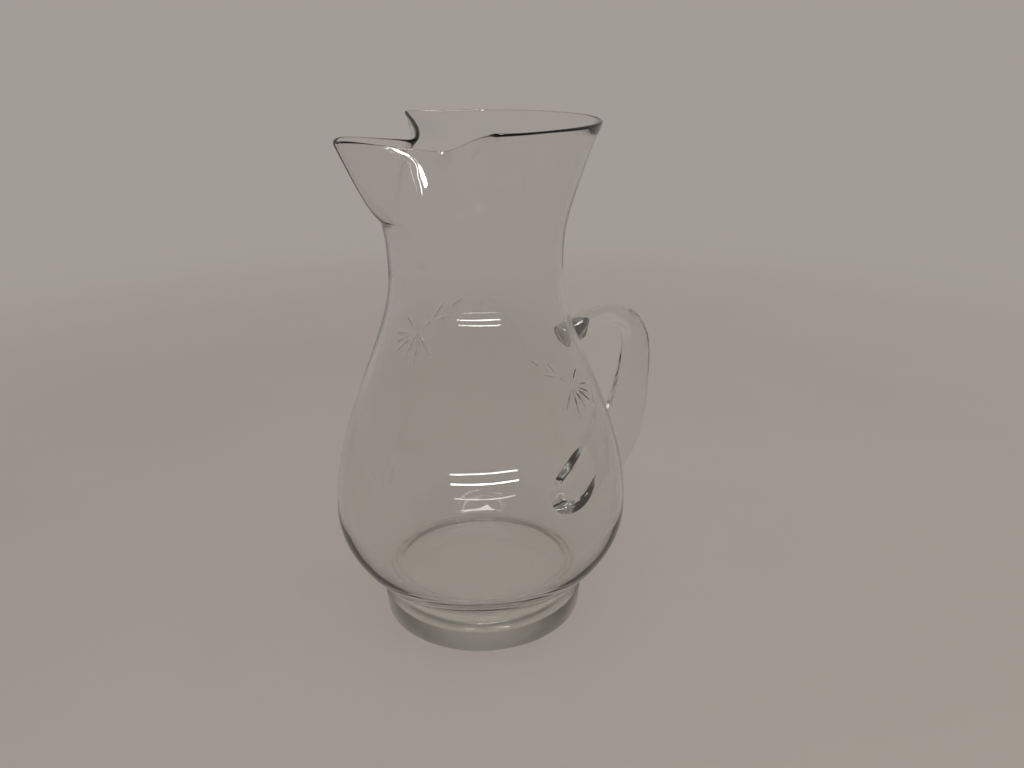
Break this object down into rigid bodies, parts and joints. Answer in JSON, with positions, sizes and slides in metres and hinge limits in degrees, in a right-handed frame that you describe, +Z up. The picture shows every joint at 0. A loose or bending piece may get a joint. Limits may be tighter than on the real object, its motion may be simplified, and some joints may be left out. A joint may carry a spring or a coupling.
{
  "type": "glass pitcher",
  "caption": "Clear hand-made glass pitcher with a round belly, narrow neck, pinched pouring lip, thick foot disc and drawn loop handle, lightly cut with leaf sprays.",
  "frame": {"origin": "middle of the foot's flat underside", "axes": "+Z up along the axis of the bowl, -X towards the pouring lip, the handle on the +X side"},
  "size_m": [0.1858, 0.1512, 0.2545],
  "materials": {
    "foot_glass": "thick grey-green glass, fire polished, ground underside",
    "bowl_glass": "clear blown glass, fire polished, with grey cut sprays",
    "handle_glass": "clear drawn glass, fire polished"
  },
  "bodies": {
    "root": {"foot": "foot_glass", "bowl": "bowl_glass", "handle": "handle_glass"}
  },
  "joints": []
}
